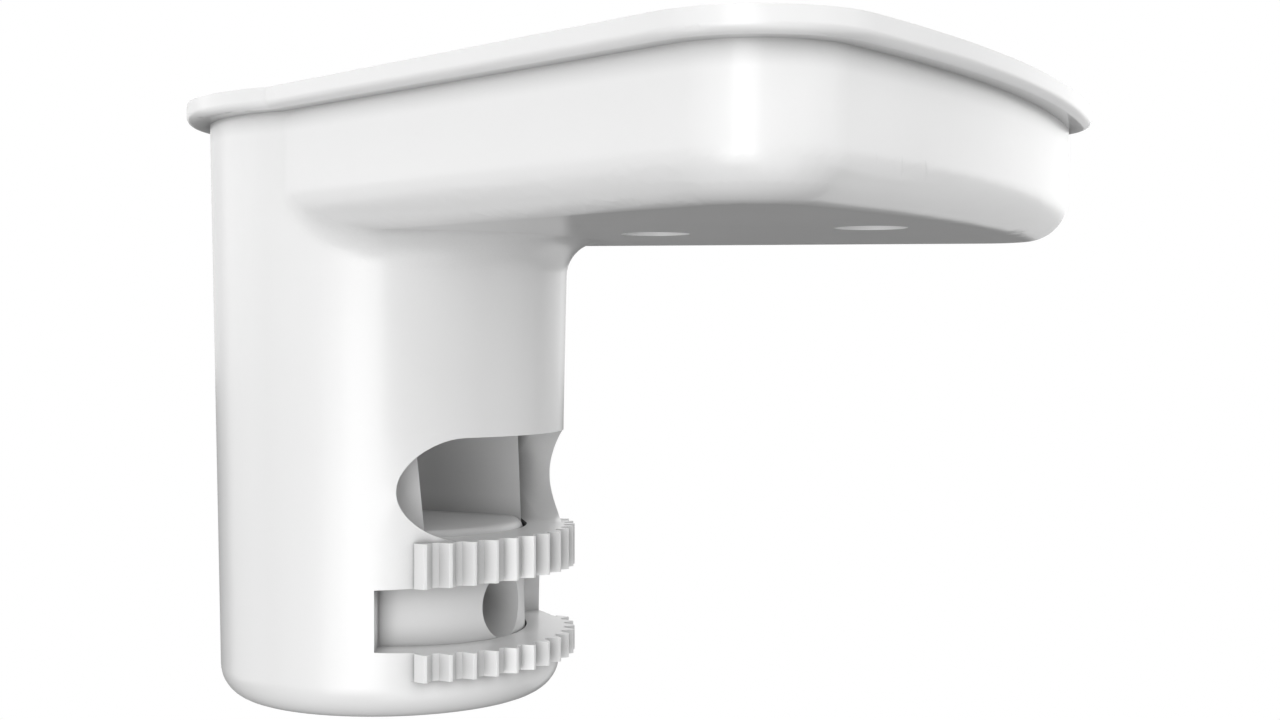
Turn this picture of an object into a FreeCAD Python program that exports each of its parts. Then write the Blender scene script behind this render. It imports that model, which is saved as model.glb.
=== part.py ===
import FreeCAD, Part
import math
import os

# Ceiling mount bracket for a small surveillance camera, in millimetres.
# The origin is where the column's axis meets the ceiling plane. +Z points up
# into the ceiling, +X runs out along the arm, and the bracket mirrors in Y.
# The body is one open-topped moulding: flange, hollow arm, column and two
# toothed rings. The swivel core drops into the column from the ceiling side
# and turns about Z behind the slot that parts the rings.

# Wall sections and moulding draft
WALL = 2.0
DRAFT_DEG = 1.15

# Flange against the ceiling
FLANGE_THICK = 1.45
FLANGE_OVERHANG = 1.6
FLANGE_ROUND = 0.6

# Column
COLUMN_RADIUS_TOP = 13.15
COLUMN_DEPTH = 42.65
COLUMN_FLOOR = 2.0
COLUMN_TOP_WALL = 3.2
COLUMN_BOTTOM_ROUND = 2.4

# Arm, measured from the column's axis in plan
ARM_LENGTH = 46.5
ARM_ROOT_INSET = 0.2
ARM_SPREAD_DEG = 20.4
ARM_DEPTH = 9.65
ARM_CORNER_RADIUS = 6.0
ARM_END_RADIUS = 130.0
ARM_EDGE_ROUND = 3.0
ARM_BLEND_RADIUS = 2.6

# Screw bosses on the arm's centre line
BOSS_NEAR_X = 21.9
BOSS_SPACING = 15.6
BOSS_RADIUS = 4.2
SCREW_HOLE_RADIUS = 2.4
RIB_THICK = 1.5
RIB_TOP_GAP = 2.5

# Cable opening above the toothed rings, as wide as the bore
OPENING_HEIGHT = 7.0
OPENING_SIDE_EXTRA = 0.15

# Toothed rings and the slot between them, stacked up from the column's bottom,
# with heights at the teeth's tips
LOWER_RING_RISE = 2.8
UPPER_RING_HEIGHT = 2.9
SLOT_HEIGHT = 4.7
SLOT_DRAFT_DEG = 2.0
SLOT_HALF_ANGLE_DEG = 60.0
LOWER_RING_HEIGHT = 1.7
TOOTH_TIP_STANDOFF = 0.35
TOOTH_COUNT = 13
TOOTH_PITCH_DEG = 7.5
TOOTH_HEIGHT = 0.75
TOOTH_TIP_LAND = 0.22
TOOTH_ROOT_LAND = 0.46
TOOTH_FOOT_LENGTH = 0.8
TOOTH_BAND_DEPTH = 2.0

# Swivel core, which narrows upwards by the moulding draft
CORE_CLEARANCE = 0.1
CORE_FLOOR_GAP = 0.2
CORE_TOP_DEPTH = 12.0
CORE_EDGE_CHAMFER = 0.3
CORE_HOLE_RADIUS = 2.4
CORE_HOLE_DEPTH = 14.0
CHANNEL_SILL_RISE = 0.42
CHANNEL_SIDE_WALL = 3.5
CHANNEL_DRAFT_DEG = 3.3
CHANNEL_BACK_WALL = 3.8
CHANNEL_CORNER_RADIUS = 1.0
SILL_ROUND = 0.8

# How far a cutting solid reaches past the face it cuts
PAST = 1.0

# Sizes that follow from those above
DRAFT = math.tan(math.radians(DRAFT_DEG))
ARM_ROOT_HALF_WIDTH = COLUMN_RADIUS_TOP - ARM_ROOT_INSET
BORE_RADIUS = COLUMN_RADIUS_TOP - COLUMN_TOP_WALL
CORE_RADIUS = BORE_RADIUS - CORE_CLEARANCE
BORE_FLOOR_Z = COLUMN_FLOOR - COLUMN_DEPTH
LOWER_RING_BOTTOM_Z = LOWER_RING_RISE - COLUMN_DEPTH
LOWER_RING_TOP_Z = LOWER_RING_BOTTOM_Z + LOWER_RING_HEIGHT
UPPER_RING_BOTTOM_Z = LOWER_RING_TOP_Z + SLOT_HEIGHT
UPPER_RING_TOP_Z = UPPER_RING_BOTTOM_Z + UPPER_RING_HEIGHT
OPENING_TOP_Z = UPPER_RING_TOP_Z + OPENING_HEIGHT
SLOT_MIDDLE_Z = UPPER_RING_BOTTOM_Z - SLOT_HEIGHT / 2
OPENING_HALF_WIDTH = BORE_RADIUS + OPENING_SIDE_EXTRA
TOOTH_TIP_RADIUS = COLUMN_RADIUS_TOP + TOOTH_TIP_STANDOFF


def point(x, y, z=0.0):
    return FreeCAD.Vector(x, y, z)


def polar(radius, angle, z=0.0):
    return point(radius * math.cos(angle), radius * math.sin(angle), z)


def line(start, end):
    return Part.LineSegment(start, end).toShape()


def arc(start, middle, end):
    return Part.Arc(start, middle, end).toShape()


def column_radius(z):
    """Outer radius of the drafted column at height z."""
    return COLUMN_RADIUS_TOP + z * DRAFT


class ArmPlan:
    """The arm's outline in plan, moved inwards by an inset, at height z."""

    def __init__(self, inset, z):
        spread = math.radians(ARM_SPREAD_DEG)
        self.z = z
        self.along = point(math.cos(spread), math.sin(spread))
        self.outward = point(-math.sin(spread), math.cos(spread))
        self.side_distance = ARM_ROOT_HALF_WIDTH * math.cos(spread) - inset
        self.end_radius = ARM_END_RADIUS - inset
        self.end_centre = point(ARM_LENGTH - ARM_END_RADIUS, 0)
        self.corner_radius = ARM_CORNER_RADIUS - inset
        self.corner_centre = self.find_corner_centre()

    def find_corner_centre(self):
        """Centre that is one corner radius inside both the side and the end arc."""
        base = self.outward * (self.side_distance - self.corner_radius)
        reach = self.end_radius - self.corner_radius
        offset = base - self.end_centre
        half_b = offset.dot(self.along)
        rest = offset.dot(offset) - reach * reach
        return base + self.along * (-half_b + math.sqrt(half_b * half_b - rest))

    def side_start(self):
        """Where the straight side crosses the plane of the column's axis."""
        return point(0, self.side_distance / self.outward.y)

    def corner_points(self):
        """Start, middle and end of the corner arc on the +Y side."""
        from_end = (self.corner_centre - self.end_centre).normalize()
        middle = (self.outward + from_end).normalize()
        return [self.corner_centre + direction * self.corner_radius
                for direction in (self.outward, middle, from_end)]

    def placed(self, location, mirror=False):
        return point(location.x, -location.y if mirror else location.y, self.z)

    def side_and_corner(self, start, mirror):
        """Edges from a start point on the side to the end arc, on one side."""
        first, middle, last = [self.placed(p, mirror) for p in self.corner_points()]
        return [line(self.placed(start, mirror), first), arc(first, middle, last)], last

    def end_edge(self, plus_end, minus_end):
        crown = point(self.end_centre.x + self.end_radius, 0, self.z)
        return arc(plus_end, crown, minus_end)

    def half_plane_wire(self):
        """Closed outline from the plane of the column's axis outwards."""
        start = self.side_start()
        plus, plus_end = self.side_and_corner(start, False)
        minus, minus_end = self.side_and_corner(start, True)
        end = self.end_edge(plus_end, minus_end)
        chord = line(self.placed(start, True), self.placed(start))
        return Part.Wire(plus + [end] + minus[::-1] + [chord])

    def whole_wire(self, round_radius, blend_radius):
        """Closed outline round the column too, with the hollow corners blended."""
        reach = round_radius + blend_radius
        out = self.side_distance + blend_radius
        slide = math.sqrt(reach * reach - out * out)
        centre = self.outward * out + self.along * slide
        on_side = centre - self.outward * blend_radius
        on_round = point(centre.x, centre.y).normalize() * round_radius
        inward = (centre * -1).normalize()
        middle = centre + (inward - self.outward).normalize() * blend_radius
        plus, plus_end = self.side_and_corner(on_side, False)
        minus, minus_end = self.side_and_corner(on_side, True)
        end = self.end_edge(plus_end, minus_end)
        blends = [arc(self.placed(on_round, m), self.placed(middle, m), self.placed(on_side, m))
                  for m in (False, True)]
        back = point(-round_radius, 0, self.z)
        round_end = arc(self.placed(on_round, True), back, self.placed(on_round))
        return Part.Wire([blends[0]] + plus + [end] + minus[::-1] + [blends[1], round_end])


def drafted_arm(inset, depth, edge_round):
    """The arm as a solid block that narrows downwards, its lower edge rounded."""
    top = ArmPlan(inset, 0).half_plane_wire()
    bottom = ArmPlan(inset + depth * DRAFT, -depth).half_plane_wire()
    block = Part.makeLoft([top, bottom], True, True)
    lower_edges = [e for e in block.Edges
                   if e.BoundBox.ZMax < PAST - depth and e.BoundBox.XMax > PAST]
    return block.makeFillet(edge_round, lower_edges)


def drafted_column():
    """The solid column with its rounded bottom edge."""
    tip = column_radius(-COLUMN_DEPTH)
    cone = Part.makeCone(tip, COLUMN_RADIUS_TOP, COLUMN_DEPTH, point(0, 0, -COLUMN_DEPTH))
    cone.rotate(point(0, 0), point(0, 0, 1), 180)
    lower_edges = [e for e in cone.Edges if e.BoundBox.ZMax < PAST - COLUMN_DEPTH]
    return cone.makeFillet(COLUMN_BOTTOM_ROUND, lower_edges)


def lies_on_column(edge):
    """True for an edge of the arm's root, which runs on the column's surface."""
    first, last = edge.ParameterRange
    samples = [edge.valueAt(first + (last - first) * share) for share in (0.1, 0.5, 0.9)]
    on_surface = all(abs(math.hypot(p.x, p.y) - column_radius(p.z)) < 0.01 for p in samples)
    in_arm = all(p.x > 0 and p.z > -ARM_DEPTH - 0.01 for p in samples)
    return on_surface and in_arm and edge.BoundBox.ZMin < -0.01


def outer_form():
    """Column and arm as one solid, with the hollow blend between them."""
    joined = drafted_column().fuse(drafted_arm(0, ARM_DEPTH, ARM_EDGE_ROUND)).removeSplitter()
    root_edges = [e for e in joined.Edges if lies_on_column(e)]
    return joined.makeFillet(ARM_BLEND_RADIUS, root_edges)


def flange():
    """The plate that meets the ceiling, an even overhang round the outline."""
    outline = ArmPlan(-FLANGE_OVERHANG, -FLANGE_THICK).whole_wire(
        COLUMN_RADIUS_TOP + FLANGE_OVERHANG, ARM_BLEND_RADIUS - FLANGE_OVERHANG)
    plate = Part.Face(outline).extrude(point(0, 0, FLANGE_THICK))
    lower_edges = [e for e in plate.Edges if e.BoundBox.ZMax < -FLANGE_THICK / 2]
    return plate.makeFillet(FLANGE_ROUND, lower_edges)


def hollow():
    """The space inside the body: the arm's tray, the well above it and the bore."""
    tray_depth = ARM_DEPTH - WALL
    tray = drafted_arm(WALL, tray_depth, ARM_EDGE_ROUND - WALL)
    well = Part.makeCone(column_radius(-tray_depth) - WALL, COLUMN_RADIUS_TOP - WALL,
                         tray_depth, point(0, 0, -tray_depth))
    bore = Part.makeCylinder(BORE_RADIUS, PAST - BORE_FLOOR_Z, point(0, 0, BORE_FLOOR_Z))
    return tray.fuse([well, bore])


def boss_positions():
    return [BOSS_NEAR_X, BOSS_NEAR_X + BOSS_SPACING]


def bosses():
    """Screw bosses from the arm's floor to the ceiling, each tied by a cross rib."""
    floor = WALL / 2 - ARM_DEPTH
    pieces = []
    for x in boss_positions():
        pieces.append(Part.makeCylinder(BOSS_RADIUS, -floor, point(x, 0, floor)))
        reach = ARM_ROOT_HALF_WIDTH + x * math.tan(math.radians(ARM_SPREAD_DEG)) - WALL / 2
        corner = point(x - RIB_THICK / 2, -reach, floor)
        pieces.append(Part.makeBox(RIB_THICK, 2 * reach, -floor - RIB_TOP_GAP, corner))
    return pieces


def screw_holes():
    return [Part.makeCylinder(SCREW_HOLE_RADIUS, ARM_DEPTH + 2 * PAST, point(x, 0, -ARM_DEPTH - PAST))
            for x in boss_positions()]


def cable_opening():
    """Full-round slot through the front wall, straight out along +X."""
    end_radius = OPENING_HEIGHT / 2
    middle_z = OPENING_TOP_Z - end_radius
    straight = OPENING_HALF_WIDTH - end_radius
    top = middle_z + end_radius
    bottom = middle_z - end_radius
    outline = Part.Wire([
        line(point(0, -straight, bottom), point(0, straight, bottom)),
        arc(point(0, straight, bottom), point(0, OPENING_HALF_WIDTH, middle_z), point(0, straight, top)),
        line(point(0, straight, top), point(0, -straight, top)),
        arc(point(0, -straight, top), point(0, -OPENING_HALF_WIDTH, middle_z), point(0, -straight, bottom)),
    ])
    return Part.Face(outline).extrude(point(COLUMN_RADIUS_TOP + PAST, 0, 0))


def ring_slot():
    """Sector between the toothed rings, whose floor and roof open outwards by a draft."""
    outer = TOOTH_TIP_RADIUS + PAST
    inner = BORE_RADIUS - PAST
    spread = math.tan(math.radians(SLOT_DRAFT_DEG))
    widen = PAST * spread
    narrow = TOOTH_TIP_RADIUS * spread
    profile = Part.makePolygon([
        point(0, -outer, LOWER_RING_TOP_Z + narrow), point(outer, -outer, LOWER_RING_TOP_Z - widen),
        point(outer, -outer, UPPER_RING_BOTTOM_Z + widen), point(0, -outer, UPPER_RING_BOTTOM_Z - narrow),
        point(0, -outer, LOWER_RING_TOP_Z + narrow)])
    wedge = Part.Face(profile).extrude(point(0, 2 * outer, 0))
    height = SLOT_HEIGHT + 2 * widen
    sector = Part.makeCylinder(outer, height, point(0, 0, LOWER_RING_TOP_Z - widen),
                               point(0, 0, 1), 2 * SLOT_HALF_ANGLE_DEG)
    sector.rotate(point(0, 0), point(0, 0, 1), -SLOT_HALF_ANGLE_DEG)
    middle = Part.makeCylinder(inner, height, point(0, 0, LOWER_RING_TOP_Z - widen))
    return sector.cut(middle).common(wedge)


def toothed_band():
    """The teeth as one band through both rings, spread evenly about the +X axis."""
    root_radius = TOOTH_TIP_RADIUS - TOOTH_HEIGHT
    tip_half = TOOTH_TIP_LAND / 2 / TOOTH_TIP_RADIUS
    root_half = math.radians(TOOTH_PITCH_DEG) / 2 - TOOTH_ROOT_LAND / 2 / root_radius
    tooth = [(root_radius, -root_half), (TOOTH_TIP_RADIUS, -tip_half),
             (TOOTH_TIP_RADIUS, tip_half), (root_radius, root_half)]
    corners = []
    for index in range(TOOTH_COUNT):
        turn = math.radians(TOOTH_PITCH_DEG) * (index - (TOOTH_COUNT - 1) / 2)
        corners += [polar(radius, turn + angle, LOWER_RING_BOTTOM_Z) for radius, angle in tooth]
    first_foot = corners[0] + (corners[0] - corners[1]).normalize() * TOOTH_FOOT_LENGTH
    last_foot = corners[-1] + (corners[-1] - corners[-2]).normalize() * TOOTH_FOOT_LENGTH
    corners = [first_foot] + corners + [last_foot]
    foot_angle = math.atan2(last_foot.y, last_foot.x)
    inner_radius = TOOTH_TIP_RADIUS - TOOTH_BAND_DEPTH
    inner = [polar(inner_radius, angle, LOWER_RING_BOTTOM_Z)
             for angle in (foot_angle, 0, -foot_angle)]
    edges = [line(start, end) for start, end in zip(corners, corners[1:])]
    edges += [line(last_foot, inner[0]), arc(*inner), line(inner[2], first_foot)]
    height = UPPER_RING_TOP_Z - LOWER_RING_BOTTOM_Z
    return Part.Face(Part.Wire(edges)).extrude(point(0, 0, height))


def bracket_body():
    """The whole moulding: the teeth are cut with the slot, so both rings share its faces."""
    outside = outer_form().fuse(flange())
    shell = outside.cut(hollow())
    inside_parts = shell.fuse(bosses()).common(outside)
    solid = inside_parts.cut(screw_holes() + [cable_opening()])
    return solid.fuse(toothed_band()).cut(ring_slot()).removeSplitter()


def cable_channel():
    """Drafted channel down the core, open at the top and towards +X."""
    floor_z = UPPER_RING_TOP_Z + CHANNEL_SILL_RISE
    rise = -CORE_TOP_DEPTH + PAST - floor_z
    back = CHANNEL_BACK_WALL - CORE_RADIUS
    front = CORE_RADIUS + PAST
    outlines = []
    for height in (0, rise):
        half = CORE_RADIUS - CHANNEL_SIDE_WALL + height * math.tan(math.radians(CHANNEL_DRAFT_DEG))
        z = floor_z + height
        outlines.append(Part.makePolygon([
            point(back, -half, z), point(front, -half, z), point(front, half, z),
            point(back, half, z), point(back, -half, z)]))
    channel = Part.makeLoft(outlines, True, True)
    back_corners = [e for e in channel.Edges
                    if e.BoundBox.XMax < back + PAST and e.BoundBox.ZLength > rise / 2]
    return channel.makeFillet(CHANNEL_CORNER_RADIUS, back_corners)


def core_hole():
    start = point(CORE_RADIUS - CORE_HOLE_DEPTH, 0, SLOT_MIDDLE_Z)
    return Part.makeCylinder(CORE_HOLE_RADIUS, CORE_HOLE_DEPTH + PAST, start, point(1, 0, 0))


def is_sill_edge(edge):
    """True for the curved front edge of the channel's floor."""
    box = edge.BoundBox
    floor_z = UPPER_RING_TOP_Z + CHANNEL_SILL_RISE
    return abs(box.ZMin - floor_z) < 0.01 and abs(box.ZMax - floor_z) < 0.01 and box.XMin > PAST


def swivel_core():
    bottom = BORE_FLOOR_Z + CORE_FLOOR_GAP
    height = -CORE_TOP_DEPTH - bottom
    core = Part.makeCone(CORE_RADIUS, CORE_RADIUS - height * DRAFT, height, point(0, 0, bottom))
    core = core.makeChamfer(CORE_EDGE_CHAMFER, [e for e in core.Edges if e.BoundBox.ZLength < PAST])
    core.rotate(point(0, 0), point(0, 0, 1), 180)
    core = core.cut([cable_channel(), core_hole()])
    return core.makeFillet(SILL_ROUND, [e for e in core.Edges if is_sill_edge(e)])


def main():
    os.makedirs("parts", exist_ok=True)
    nodes = {"bracket_body": bracket_body(), "swivel_core": swivel_core()}
    for name, shape in nodes.items():
        solid = shape.Solids[0] if len(shape.Solids) == 1 else shape
        solid.exportStep(os.path.join("parts", name + ".step"))
        print(name, "solids", len(shape.Solids), "valid", shape.isValid(), "volume", round(shape.Volume, 1))


main()
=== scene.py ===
"""Ceiling mount bracket in glossy white plastic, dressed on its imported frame.

Lengths are in metres in the shared frame, unless their name or their class
says millimetres. The origin is where the column's axis meets the ceiling, +Z
points up and +X runs out along the arm.
"""
import logging
import math
from dataclasses import dataclass, field
from enum import Enum

import bmesh
import bpy
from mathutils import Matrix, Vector


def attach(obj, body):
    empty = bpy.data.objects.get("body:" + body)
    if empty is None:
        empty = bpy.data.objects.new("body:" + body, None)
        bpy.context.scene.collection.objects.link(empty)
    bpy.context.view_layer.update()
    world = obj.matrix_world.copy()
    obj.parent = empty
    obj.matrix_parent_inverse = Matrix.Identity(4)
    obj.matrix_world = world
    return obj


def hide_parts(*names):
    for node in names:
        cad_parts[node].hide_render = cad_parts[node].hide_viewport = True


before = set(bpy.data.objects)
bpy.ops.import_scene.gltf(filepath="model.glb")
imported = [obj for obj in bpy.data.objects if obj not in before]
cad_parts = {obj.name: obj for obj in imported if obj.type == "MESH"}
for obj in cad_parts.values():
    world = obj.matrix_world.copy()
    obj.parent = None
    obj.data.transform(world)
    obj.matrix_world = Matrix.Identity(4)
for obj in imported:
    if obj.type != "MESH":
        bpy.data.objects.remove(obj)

MM = 0.001
CAD_NORMAL = "cad_normal"
log = logging.getLogger("ceiling_bracket")

# A Mix node has sockets for each type of data. These are the ones for colours.
MIX_FIRST = 6
MIX_SECOND = 7
MIX_RESULT = 2


class SlotSide(Enum):
    """Which face of a toothed ring looks into the slot, with the sign of its draft."""

    BELOW = 1.0
    ABOVE = -1.0


class LampRole(Enum):
    """What a studio lamp is for."""

    KEY = "front_left_key"
    STRIP = "corner_strip"
    FRONT_LOW = "front_low"
    RIGHT_TOP = "right_top"
    RIGHT_LOW = "right_low"
    END = "arm_end_fill"
    LEFT = "left_fill"
    BACK_RIGHT = "back_right"
    BACK = "back_rim"
    BACK_TOP = "back_top"
    BACK_LEFT = "back_left"


def linear_colour(code: str) -> tuple[float, float, float, float]:
    """Turn an sRGB hex code into linear colour.

    Args:
        code: six hex digits, with or without a leading hash.

    Returns:
        Linear red, green and blue with an alpha of 1.
    """
    digits = code.lstrip("#")
    parts = [int(digits[i:i + 2], 16) / 255 for i in (0, 2, 4)]
    flat = [p / 12.92 if p <= 0.04045 else ((p + 0.055) / 1.055) ** 2.4 for p in parts]
    return flat[0], flat[1], flat[2], 1.0


def add_node(tree: bpy.types.NodeTree, kind: str, settings: dict | None = None,
             inputs: dict | None = None) -> bpy.types.Node:
    """Add one node with its settings, values and links.

    Args:
        tree: the node tree that gets it.
        kind: the node's type name.
        settings: attributes of the node.
        inputs: socket name or number to a value, or to the socket it is linked from.

    Returns:
        The new node.
    """
    node = tree.nodes.new(kind)
    for name, value in (settings or {}).items():
        setattr(node, name, value)
    for key, value in (inputs or {}).items():
        if isinstance(value, bpy.types.NodeSocket):
            tree.links.new(value, node.inputs[key])
        else:
            node.inputs[key].default_value = value
    return node


@dataclass(frozen=True)
class MouldedPlastic:
    """Injection-moulded thermoplastic: an even colour under a thin bright skin.

    The pigment varies a little where the melt flowed. The skin follows the
    polished tool, so its gloss wanders slowly and it carries a very fine ripple.
    Grooves narrower than a few millimetres look greyer, because ambient occlusion
    darkens the base colour there: painted shade.
    """

    name: str
    pigment: str
    flow_pigment: str
    ior: float
    roughness: float
    roughness_swing: float
    flow_mm: float
    ripple_mm: float
    ripple_depth_mm: float
    painted_shade_mm: float
    painted_shade_share: float
    flow_detail: float = 3.0
    ripple_detail: float = 2.0
    painted_shade_samples: int = 8

    def make(self) -> bpy.types.Material:
        """Build the material.

        Returns:
            The material, whose patterns are in object millimetres.
        """
        material = bpy.data.materials.new(self.name)
        material.use_nodes = True
        tree = material.node_tree
        tree.nodes.clear()
        place = add_node(tree, "ShaderNodeTexCoord").outputs["Object"]
        flow = add_node(tree, "ShaderNodeTexNoise", {"noise_dimensions": "3D"},
                        {"Vector": place, "Scale": 1 / (self.flow_mm * MM),
                         "Detail": self.flow_detail})
        colour = add_node(tree, "ShaderNodeMix", {"data_type": "RGBA"},
                          {"Factor": flow.outputs["Fac"],
                           MIX_FIRST: linear_colour(self.pigment),
                           MIX_SECOND: linear_colour(self.flow_pigment)})
        # Ambient occlusion multiplied into the base colour: painted shade in grooves and
        # crevices.
        painted_shade = add_node(tree, "ShaderNodeAmbientOcclusion", {"samples": self.painted_shade_samples},
                          {"Distance": self.painted_shade_mm * MM})
        shaded_colour = add_node(tree, "ShaderNodeMix", {"data_type": "RGBA", "blend_type": "MULTIPLY"},
                           {"Factor": self.painted_shade_share,
                            MIX_FIRST: colour.outputs[MIX_RESULT],
                            MIX_SECOND: painted_shade.outputs["Color"]})
        gloss = add_node(tree, "ShaderNodeMapRange", None,
                         {"Value": flow.outputs["Fac"], "From Min": 0.0, "From Max": 1.0,
                          "To Min": self.roughness - self.roughness_swing,
                          "To Max": self.roughness + self.roughness_swing})
        ripple = add_node(tree, "ShaderNodeTexNoise", {"noise_dimensions": "3D"},
                          {"Vector": place, "Scale": 1 / (self.ripple_mm * MM),
                           "Detail": self.ripple_detail})
        bump = add_node(tree, "ShaderNodeBump", None,
                        {"Strength": 1.0, "Distance": self.ripple_depth_mm * MM,
                         "Height": ripple.outputs["Fac"]})
        surface = add_node(tree, "ShaderNodeBsdfPrincipled", None,
                           {"Base Color": shaded_colour.outputs[MIX_RESULT],
                            "Roughness": gloss.outputs["Result"],
                            "IOR": self.ior, "Normal": bump.outputs["Normal"]})
        add_node(tree, "ShaderNodeOutputMaterial", None, {"Surface": surface.outputs["BSDF"]})
        return material


# ABS straight from a polished tool: bright white, with soft but clear reflections.
BODY_ABS = MouldedPlastic(
    name="gloss_white_abs", pigment="#E8E8E8", flow_pigment="#E4E4E4",
    ior=1.54, roughness=0.26, roughness_swing=0.03,
    flow_mm=14.0, ripple_mm=0.9, ripple_depth_mm=0.003,
    painted_shade_mm=1.5, painted_shade_share=0.85)

# Acetal turns well against ABS: a shade darker and duller, because its tool isn't polished.
CORE_ACETAL = MouldedPlastic(
    name="satin_white_acetal", pigment="#DADADA", flow_pigment="#D6D6D6",
    ior=1.48, roughness=0.36, roughness_swing=0.04,
    flow_mm=9.0, ripple_mm=0.6, ripple_depth_mm=0.004,
    painted_shade_mm=1.5, painted_shade_share=0.5)


def merged_copy(node: str, name: str, merge_mm: float = 0.002) -> bpy.types.Object:
    """Copy a CAD node as one closed mesh, its corner normals kept as an attribute.

    Args:
        node: the CAD node's name.
        name: the copy's name.
        merge_mm: the distance within which corners become one.

    Returns:
        The copy, at the origin, in the scene.
    """
    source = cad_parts[node].data
    mesh = bpy.data.meshes.new(name)
    shell = bmesh.new()
    shell.from_mesh(source)
    normal = shell.loops.layers.float_vector.new(CAD_NORMAL)
    for face, polygon in zip(shell.faces, source.polygons):
        for corner, index in zip(face.loops, polygon.loop_indices):
            corner[normal] = source.corner_normals[index].vector
    bmesh.ops.remove_doubles(shell, verts=shell.verts, dist=merge_mm * MM)
    shell.to_mesh(mesh)
    shell.free()
    piece = bpy.data.objects.new(name, mesh)
    bpy.context.scene.collection.objects.link(piece)
    return piece


def share_normals(piece: bpy.types.Object, facet_from: float, tangent_deg: float = 24.0) -> None:
    """Give the corners of a tangent join one normal, so that no crease shows there.

    Args:
        piece: a merged copy, whose corners carry the CAD normals.
        facet_from: the X past which the facets' own normals are shared, because
            the CAD's are uneven where a short fillet facet meets a long one.
        tangent_deg: the most that two normals differ at a tangent join.
    """
    mesh = piece.data
    mesh.shade_smooth()
    normals = [Vector(item.vector) for item in mesh.attributes[CAD_NORMAL].data]
    around: dict[int, list[tuple[int, float]]] = {}
    for polygon in mesh.polygons:
        for corner in polygon.loop_indices:
            vertex = mesh.loops[corner].vertex_index
            around.setdefault(vertex, []).append((corner, polygon.area))
            if mesh.vertices[vertex].co.x > facet_from:
                normals[corner] = polygon.normal.copy()
    shared = list(normals)
    least = math.cos(math.radians(tangent_deg))
    for corners in around.values():
        for corner, _ in corners:
            tangent = [normals[other] * area for other, area in corners
                       if normals[corner].dot(normals[other]) > least]
            shared[corner] = sum(tangent, Vector()).normalized()
    mesh.normals_split_custom_set(shared)
    mesh.attributes.remove(mesh.attributes[CAD_NORMAL])


def smooth(piece: bpy.types.Object, edge_deg: float) -> None:
    """Shade a piece smooth between its edges, with its broad faces kept flat.

    Args:
        piece: the mesh object.
        edge_deg: the least angle between two faces that stays an edge.
    """
    piece.data.shade_smooth()
    piece.data.set_sharp_from_angle(angle=math.radians(edge_deg))
    weighted = piece.modifiers.new("broad_faces_flat", "WEIGHTED_NORMAL")
    weighted.mode = "FACE_AREA"
    weighted.keep_sharp = True
    apply_modifiers(piece)


def apply_modifiers(piece: bpy.types.Object) -> None:
    """Turn a piece's modifiers into plain mesh.

    Args:
        piece: the mesh object, whose modifiers are removed.
    """
    bpy.context.view_layer.update()
    evaluated = piece.evaluated_get(bpy.context.evaluated_depsgraph_get())
    mesh = bpy.data.meshes.new_from_object(evaluated)
    piece.modifiers.clear()
    old = piece.data
    piece.data = mesh
    mesh.name = piece.name
    bpy.data.meshes.remove(old)


def dress(piece: bpy.types.Object, material: bpy.types.Material) -> None:
    """Give a piece one material all over.

    Args:
        piece: the mesh object.
        material: its finish.
    """
    piece.data.materials.clear()
    piece.data.materials.append(material)
    for face in piece.data.polygons:
        face.material_index = 0


@dataclass
class ToothProfile:
    """One index tooth of the rings, in millimetres, and how often it is repeated."""

    tip_radius: float = 13.5
    root_radius: float = 12.75
    tip_width: float = 0.22
    foot_width: float = 1.319
    depth: float = 0.85
    edge_radius: float = 0.04
    edge_steps: int = 3
    count: int = 13
    pitch_deg: float = 7.5


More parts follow.
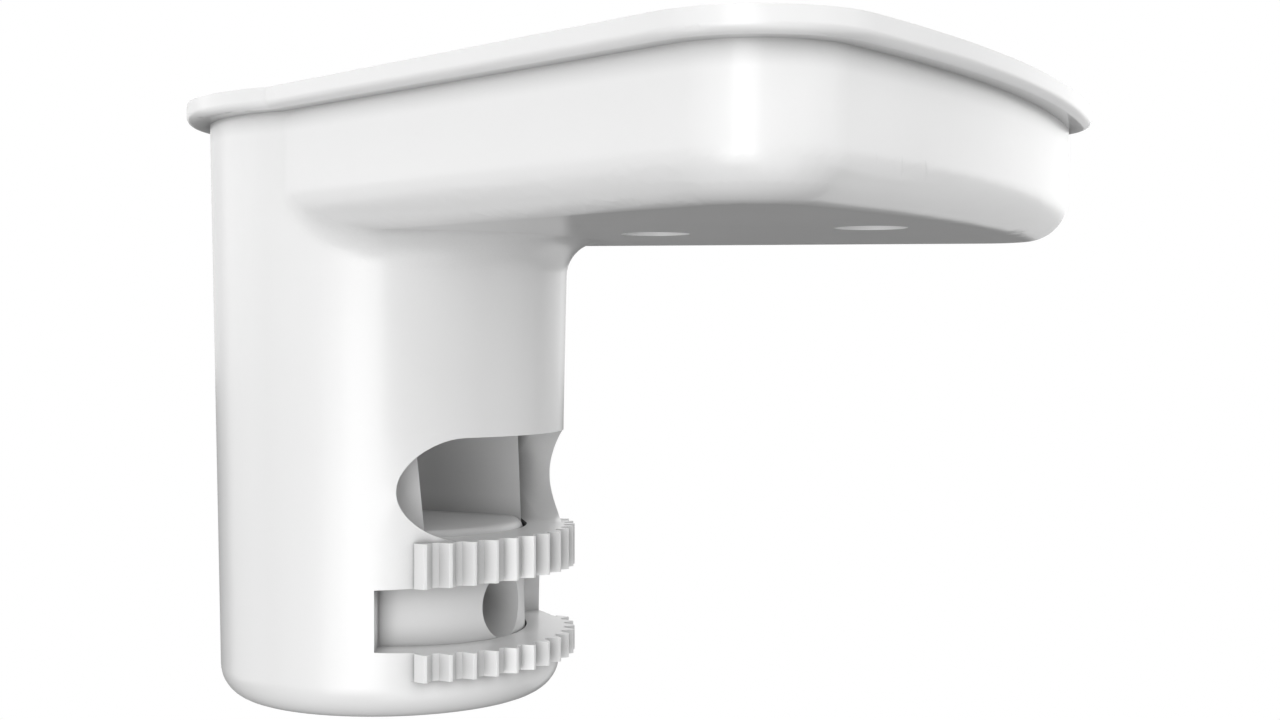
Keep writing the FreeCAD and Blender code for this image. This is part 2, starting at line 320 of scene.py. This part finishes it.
@dataclass
class ToothedRing:
    """A ring of index teeth, made by Geometry Nodes round the column's axis.

    The teeth stand a thin skin proud of the ring above and below, so that no
    face of theirs lies in a face of the shell. Their corners within the slack
    of the slot's level follow the slot's draft.
    """

    name: str
    bottom_mm: float
    top_mm: float
    slot_side: SlotSide
    slot_draft_deg: float
    tooth: ToothProfile
    skin_mm: float = 0.002
    merge_mm: float = 0.001
    level_slack_mm: float = 0.1
    edge_deg: float = 40.0

    def tree(self, material: bpy.types.Material
             ) -> tuple[bpy.types.NodeTree, dict[str, float | int]]:
        """Build the ring's node tree.

        Args:
            material: what Set Material gives the teeth.

        Returns:
            The tree, and the value for each of its named inputs.
        """
        slot_z = self.bottom_mm if self.slot_side is SlotSide.BELOW else self.top_mm
        values = {
            "Tip Radius": self.tooth.tip_radius * MM,
            "Tooth Depth": self.tooth.depth * MM,
            "Tip Width": self.tooth.tip_width * MM,
            "Foot Width": self.tooth.foot_width * MM,
            "Edge Radius": self.tooth.edge_radius * MM,
            "Ring Height": (self.top_mm - self.bottom_mm + 2 * self.skin_mm) * MM,
            "Ring Bottom": (self.bottom_mm - self.skin_mm) * MM,
            "Pitch": math.radians(self.tooth.pitch_deg),
            "Slot Height": slot_z * MM,
            "Slot Draft": self.slot_side.value * math.tan(math.radians(self.slot_draft_deg)),
        }
        counts = {"Tooth Count": self.tooth.count, "Edge Steps": self.tooth.edge_steps}
        tree = bpy.data.node_groups.new(self.name, "GeometryNodeTree")
        tree.interface.new_socket("Geometry", in_out="OUTPUT", socket_type="NodeSocketGeometry")
        for name in values:
            tree.interface.new_socket(name, in_out="INPUT", socket_type="NodeSocketFloat")
        for name in counts:
            tree.interface.new_socket(name, in_out="INPUT", socket_type="NodeSocketInt")
        given = tree.nodes.new("NodeGroupInput").outputs
        prism = self.add_tooth(tree, given)
        ring = self.add_ring(tree, given, prism)
        drafted = self.add_slot_draft(tree, given, ring)
        dressed = add_node(tree, "GeometryNodeSetMaterial", None,
                           {"Geometry": drafted, "Material": material})
        add_node(tree, "NodeGroupOutput", None, {"Geometry": dressed.outputs["Geometry"]})
        return tree, values | counts

    def add_tooth(self, tree: bpy.types.NodeTree, given: bpy.types.bpy_prop_collection
                  ) -> bpy.types.NodeSocket:
        """Add the nodes that make one tooth on the +X axis.

        Args:
            tree: the ring's tree.
            given: the tree's named inputs.

        Returns:
            The socket that carries the tooth's closed mesh.
        """
        outline = add_node(tree, "GeometryNodeCurvePrimitiveQuadrilateral", {"mode": "TRAPEZOID"},
                           {"Bottom Width": given["Foot Width"], "Top Width": given["Tip Width"],
                            "Height": given["Tooth Depth"], "Offset": 0.0})
        rounded = add_node(tree, "GeometryNodeFilletCurve", {"mode": "POLY"},
                           {"Curve": outline.outputs[0], "Radius": given["Edge Radius"],
                            "Count": given["Edge Steps"], "Limit Radius": True})
        face = add_node(tree, "GeometryNodeFillCurve", {"mode": "NGONS"},
                        {"Curve": rounded.outputs[0]})
        # Extrusion leaves the underside open, so a turned copy of the face closes it.
        raised = add_node(tree, "GeometryNodeExtrudeMesh", {"mode": "FACES"},
                          {"Mesh": face.outputs[0], "Offset Scale": given["Ring Height"],
                           "Individual": False})
        underside = add_node(tree, "GeometryNodeFlipFaces", None, {"Mesh": face.outputs[0]})
        both = add_node(tree, "GeometryNodeJoinGeometry", None,
                        {"Geometry": raised.outputs["Mesh"]})
        tree.links.new(underside.outputs[0], both.inputs[0])
        closed = add_node(tree, "GeometryNodeMergeByDistance", None,
                          {"Geometry": both.outputs[0], "Distance": self.merge_mm * MM})
        half = add_node(tree, "ShaderNodeMath", {"operation": "MULTIPLY"},
                        {0: given["Tooth Depth"], 1: 0.5})
        centre = add_node(tree, "ShaderNodeMath", {"operation": "SUBTRACT"},
                          {0: given["Tip Radius"], 1: half.outputs[0]})
        place = add_node(tree, "ShaderNodeCombineXYZ", None,
                         {"X": centre.outputs[0], "Z": given["Ring Bottom"]})
        # The outline is drawn with its tip towards +Y, and is turned to point along +X.
        moved = add_node(tree, "GeometryNodeTransform", None,
                         {"Geometry": closed.outputs[0], "Translation": place.outputs[0],
                          "Rotation": (0.0, 0.0, -math.pi / 2)})
        return moved.outputs[0]

    def add_ring(self, tree: bpy.types.NodeTree, given: bpy.types.bpy_prop_collection,
                 prism: bpy.types.NodeSocket) -> bpy.types.NodeSocket:
        """Add the nodes that repeat the tooth at the pitch, evenly about +X.

        Args:
            tree: the ring's tree.
            given: the tree's named inputs.
            prism: the socket of one tooth.

        Returns:
            The socket that carries the realized teeth.
        """
        points = add_node(tree, "GeometryNodePoints", None, {"Count": given["Tooth Count"]})
        index = add_node(tree, "GeometryNodeInputIndex")
        last = add_node(tree, "ShaderNodeMath", {"operation": "SUBTRACT"},
                        {0: given["Tooth Count"], 1: 1.0})
        middle = add_node(tree, "ShaderNodeMath", {"operation": "MULTIPLY"},
                          {0: last.outputs[0], 1: 0.5})
        step = add_node(tree, "ShaderNodeMath", {"operation": "SUBTRACT"},
                        {0: index.outputs[0], 1: middle.outputs[0]})
        turn = add_node(tree, "ShaderNodeMath", {"operation": "MULTIPLY"},
                        {0: step.outputs[0], 1: given["Pitch"]})
        spin = add_node(tree, "ShaderNodeCombineXYZ", None, {"Z": turn.outputs[0]})
        teeth = add_node(tree, "GeometryNodeInstanceOnPoints", None,
                         {"Points": points.outputs[0], "Instance": prism,
                          "Rotation": spin.outputs[0]})
        return add_node(tree, "GeometryNodeRealizeInstances", None,
                        {"Geometry": teeth.outputs[0]}).outputs[0]

    def add_slot_draft(self, tree: bpy.types.NodeTree, given: bpy.types.bpy_prop_collection,
                       ring: bpy.types.NodeSocket) -> bpy.types.NodeSocket:
        """Add the nodes that slope the slot's side of the teeth by its draft.

        Args:
            tree: the ring's tree.
            given: the tree's named inputs.
            ring: the socket of all the teeth.

        Returns:
            The socket that carries the drafted teeth.
        """
        spot = add_node(tree, "ShaderNodeSeparateXYZ", None,
                        {0: add_node(tree, "GeometryNodeInputPosition").outputs[0]})
        near = add_node(tree, "FunctionNodeCompare", {"data_type": "FLOAT", "operation": "EQUAL"},
                        {"A": spot.outputs["Z"], "B": given["Slot Height"],
                         "Epsilon": self.level_slack_mm * MM})
        reach = add_node(tree, "ShaderNodeMath", {"operation": "SUBTRACT"},
                         {0: spot.outputs["X"], 1: given["Tip Radius"]})
        drop = add_node(tree, "ShaderNodeMath", {"operation": "MULTIPLY"},
                        {0: reach.outputs[0], 1: given["Slot Draft"]})
        shift = add_node(tree, "ShaderNodeCombineXYZ", None, {"Z": drop.outputs[0]})
        return add_node(tree, "GeometryNodeSetPosition", None,
                        {"Geometry": ring, "Selection": near.outputs["Result"],
                         "Offset": shift.outputs[0]}).outputs[0]

    def build(self, material: bpy.types.Material) -> bpy.types.Object:
        """Make the ring of teeth as a plain mesh object.

        Args:
            material: the teeth's finish.

        Returns:
            The object, at the origin, in the scene.
        """
        piece = bpy.data.objects.new(self.name, bpy.data.meshes.new(self.name))
        bpy.context.scene.collection.objects.link(piece)
        tree, values = self.tree(material)
        modifier = piece.modifiers.new("teeth", "NODES")
        modifier.node_group = tree
        identifiers = {item.name: item.identifier for item in tree.interface.items_tree
                       if item.in_out == "INPUT"}
        for name, value in values.items():
            modifier[identifiers[name]] = value
        apply_modifiers(piece)
        dress(piece, material)
        smooth(piece, self.edge_deg)
        return piece


@dataclass
class BracketMoulding:
    """The one-piece white moulding: flange, arm, column and toothed rings.

    The slacks say how near to a ring's level, to the teeth's root or to a wall
    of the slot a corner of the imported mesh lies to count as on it. A face is
    upright while its unit normal rises by less than upright_rise.
    """

    ring_bottom_mm: float = -39.85
    slot_bottom_mm: float = -38.15
    slot_top_mm: float = -33.45
    ring_top_mm: float = -30.55
    slot_draft_deg: float = 2.0
    band_radius_mm: float = 12.7
    arm_from_mm: float = 17.0
    level_slack_mm: float = 0.01
    root_slack_mm: float = 0.02
    slot_slack_mm: float = 0.3
    upright_rise: float = 0.5
    tooth: ToothProfile = field(default_factory=ToothProfile)

    def slot_slope(self, height_mm: float) -> float:
        """The rise per length outwards of the slot's wall at a height, or 0 elsewhere.

        Args:
            height_mm: the height of a corner of the mesh.

        Returns:
            The slope of the slot's draft, positive where the wall rises outwards.
        """
        draft = math.tan(math.radians(self.slot_draft_deg))
        for level, slope in ((self.slot_bottom_mm, draft), (self.slot_top_mm, -draft)):
            if abs(height_mm - level) < self.slot_slack_mm:
                return slope
        return 0.0

    def flatten_teeth(self, piece: bpy.types.Object) -> int:
        """Press the CAD teeth's tips back to a plain band, which carries the finer teeth.

        Args:
            piece: the merged copy of the body.

        Returns:
            How many corners moved.
        """
        mesh = piece.data
        bottom = self.ring_bottom_mm - self.level_slack_mm
        top = self.ring_top_mm + self.level_slack_mm
        proud = (self.tooth.root_radius + self.root_slack_mm) * MM
        moved = set()
        for vertex in mesh.vertices:
            spot = vertex.co.copy()
            radius = math.hypot(spot.x, spot.y)
            if bottom < spot.z / MM < top and radius > proud:
                scale = self.band_radius_mm * MM / radius
                lift = self.slot_slope(spot.z / MM) * spot.x * (1 - scale)
                vertex.co = Vector((spot.x * scale, spot.y * scale, spot.z + lift))
                moved.add(vertex.index)
        mesh.update()
        normals = mesh.attributes[CAD_NORMAL].data
        for polygon in mesh.polygons:
            upright = abs(polygon.normal.z) < self.upright_rise
            if upright and moved.intersection(polygon.vertices):
                for corner in polygon.loop_indices:
                    spot = mesh.vertices[mesh.loops[corner].vertex_index].co
                    normals[corner].vector = Vector((spot.x, spot.y, 0.0)).normalized()
        return len(moved)

    def build(self, material: bpy.types.Material) -> list[bpy.types.Object]:
        """Make the moulding and its teeth.

        Args:
            material: the moulding's finish.

        Returns:
            The shell and the two rings, riding on the bracket.
        """
        shell = merged_copy("bracket_body", "bracket_shell")
        log.info("%d tooth corners pressed back", self.flatten_teeth(shell))
        dress(shell, material)
        share_normals(shell, self.arm_from_mm * MM)
        rings = [
            ToothedRing("upper_index_teeth", self.slot_top_mm, self.ring_top_mm,
                        SlotSide.BELOW, self.slot_draft_deg, self.tooth),
            ToothedRing("lower_index_teeth", self.ring_bottom_mm, self.slot_bottom_mm,
                        SlotSide.ABOVE, self.slot_draft_deg, self.tooth),
        ]
        pieces = [shell] + [ring.build(material) for ring in rings]
        for piece in pieces:
            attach(piece, "bracket")
        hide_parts("bracket_body")
        return pieces


@dataclass
class SwivelCore:
    """The core that turns in the column, with its cable channel and screw hole."""

    node: str = "swivel_core"

    def build(self, material: bpy.types.Material) -> list[bpy.types.Object]:
        """Dress the core, whose CAD shape stays.

        Args:
            material: the core's finish.

        Returns:
            The core's CAD object.
        """
        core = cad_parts[self.node]
        dress(core, material)
        return [core]


@dataclass(frozen=True)
class Lamp:
    """A softbox that looks at the bracket, placed by its bearing from +X and its height.

    The power is in watts, and the width and height are in metres.
    """

    role: LampRole
    bearing_deg: float
    height_deg: float
    power: float
    width: float = 0.45
    height: float = 0.45

    def towards(self) -> Vector:
        """The direction from the bracket to the lamp."""
        bearing, rise = math.radians(self.bearing_deg), math.radians(self.height_deg)
        level = math.cos(rise)
        return Vector((level * math.cos(bearing), level * math.sin(bearing), math.sin(rise)))


@dataclass
class Studio:
    """White backdrop, soft lamps and the camera at the photograph's place, in metres."""

    aim: tuple[float, float, float] = (0.018, 0.0, -0.018)
    floor_drop: float = 0.60
    floor_size: float = 30.0
    floor_tone: str = "#909090"
    white_tone: str = "#FFFFFF"
    shadow_reach: float = 1.2
    shadow_samples: int = 16
    ambient: float = 0.2
    lamp_distance: float = 0.60
    lamps: tuple[Lamp, ...] = (
        Lamp(LampRole.KEY, -108.0, 0.0, 0.74, width=0.72),
        Lamp(LampRole.STRIP, -73.5, 8.0, 1.22, width=0.26, height=0.55),
        Lamp(LampRole.FRONT_LOW, -80.0, -18.0, 1.20, height=0.35),
        Lamp(LampRole.RIGHT_TOP, -30.0, 42.0, 0.98),
        Lamp(LampRole.RIGHT_LOW, -40.0, -38.0, 0.54),
        Lamp(LampRole.END, 0.0, 20.0, 0.45, height=0.35),
        Lamp(LampRole.LEFT, -165.0, 0.0, 0.64),
        Lamp(LampRole.BACK_RIGHT, 35.0, 0.0, 0.60),
        Lamp(LampRole.BACK, 80.0, 0.0, 1.00, height=0.80),
        Lamp(LampRole.BACK_TOP, 120.0, 42.0, 1.10),
        Lamp(LampRole.BACK_LEFT, 165.0, 30.0, 1.00),
    )
    eye: tuple[float, float, float] = (0.07895, -0.11051, -0.01634)
    turn_deg: float = 27.88
    lens_mm: float = 51.19
    shift: tuple[float, float] = (0.0024, -0.0219)
    nearest: float = 0.005

    def white_to_the_eye(self, tree: bpy.types.NodeTree, plain: bpy.types.NodeSocket,
                         white: bpy.types.NodeSocket, rays: tuple[str, ...]
                         ) -> bpy.types.NodeSocket:
        """Show white to some kinds of ray, and the plain shader to the rest.

        Args:
            tree: the tree of a world or a material.
            plain: the shader that lights the scene.
            white: the shader of the white background.
            rays: the Light Path outputs that see white.

        Returns:
            The mixed shader's socket.
        """
        path = add_node(tree, "ShaderNodeLightPath")
        seen = path.outputs[rays[0]]
        for kind in rays[1:]:
            seen = add_node(tree, "ShaderNodeMath", {"operation": "MAXIMUM"},
                            {0: seen, 1: path.outputs[kind]}).outputs[0]
        return add_node(tree, "ShaderNodeMixShader", None,
                        {0: seen, 1: plain, 2: white}).outputs[0]

    def build_floor(self) -> None:
        """Lay a wide pale floor well below the bracket, which keeps its soft shadow."""
        bpy.ops.mesh.primitive_plane_add(size=self.floor_size, location=(0, 0, -self.floor_drop))
        floor = bpy.context.object
        floor.name = "pale_floor"
        material = bpy.data.materials.new("matt_pale_floor")
        material.use_nodes = True
        tree = material.node_tree
        tree.nodes.clear()
        matt = add_node(tree, "ShaderNodeBsdfDiffuse", None,
                        {"Color": linear_colour(self.floor_tone)})
        shade = add_node(tree, "ShaderNodeAmbientOcclusion", {"samples": self.shadow_samples},
                         {"Distance": self.shadow_reach})
        white = add_node(tree, "ShaderNodeEmission", None,
                         {"Color": linear_colour(self.white_tone),
                          "Strength": shade.outputs["AO"]})
        add_node(tree, "ShaderNodeOutputMaterial", None,
                 {"Surface": self.white_to_the_eye(tree, matt.outputs[0], white.outputs[0],
                                                   ("Is Camera Ray",))})
        floor.data.materials.append(material)

    def build_world(self) -> None:
        """Give an even, low ambient light behind a white background."""
        world = bpy.data.worlds.new("studio_white")
        world.use_nodes = True
        tree = world.node_tree
        tree.nodes.clear()
        ambient = add_node(tree, "ShaderNodeBackground", None,
                           {"Color": linear_colour(self.white_tone), "Strength": self.ambient})
        white = add_node(tree, "ShaderNodeBackground", None,
                         {"Color": linear_colour(self.white_tone), "Strength": 1.0})
        add_node(tree, "ShaderNodeOutputWorld", None,
                 {"Surface": self.white_to_the_eye(tree, ambient.outputs[0], white.outputs[0],
                                                   ("Is Camera Ray", "Is Glossy Ray",
                                                    "Is Transmission Ray"))})
        bpy.context.scene.world = world

    def build_lamps(self) -> None:
        """Hang the softboxes, each turned to the bracket."""
        for lamp in self.lamps:
            light = bpy.data.lights.new(lamp.role.value, "AREA")
            light.shape = "RECTANGLE"
            light.size = lamp.width
            light.size_y = lamp.height
            light.energy = lamp.power
            stand = bpy.data.objects.new(lamp.role.value, light)
            direction = lamp.towards()
            stand.location = Vector(self.aim) + direction * self.lamp_distance
            stand.rotation_euler = direction.to_track_quat("Z", "Y").to_euler()
            bpy.context.scene.collection.objects.link(stand)

    def build_camera(self) -> None:
        """Stand the camera where the photograph was taken from."""
        lens = bpy.data.cameras.new("product_camera")
        lens.lens = self.lens_mm
        lens.shift_x, lens.shift_y = self.shift
        lens.clip_start = self.nearest
        stand = bpy.data.objects.new("product_camera", lens)
        stand.location = self.eye
        stand.rotation_euler = (math.pi / 2, 0.0, math.radians(self.turn_deg))
        bpy.context.scene.collection.objects.link(stand)
        bpy.context.scene.camera = stand

    def build(self) -> None:
        """Set up the whole studio."""
        self.build_floor()
        self.build_world()
        self.build_lamps()
        self.build_camera()
        bpy.context.scene.view_settings.view_transform = "Standard"


def main() -> None:
    """Dress every piece and light it."""
    logging.basicConfig(level=logging.INFO, format="%(name)s: %(message)s")
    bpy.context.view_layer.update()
    body_finish = BODY_ABS.make()
    core_finish = CORE_ACETAL.make()
    dress(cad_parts["bracket_body"], body_finish)
    pieces = BracketMoulding().build(body_finish) + SwivelCore().build(core_finish)
    for piece in pieces:
        log.info("%s: %d faces", piece.name, len(piece.data.polygons))
    Studio().build()


if __name__ == "__main__":
    main()
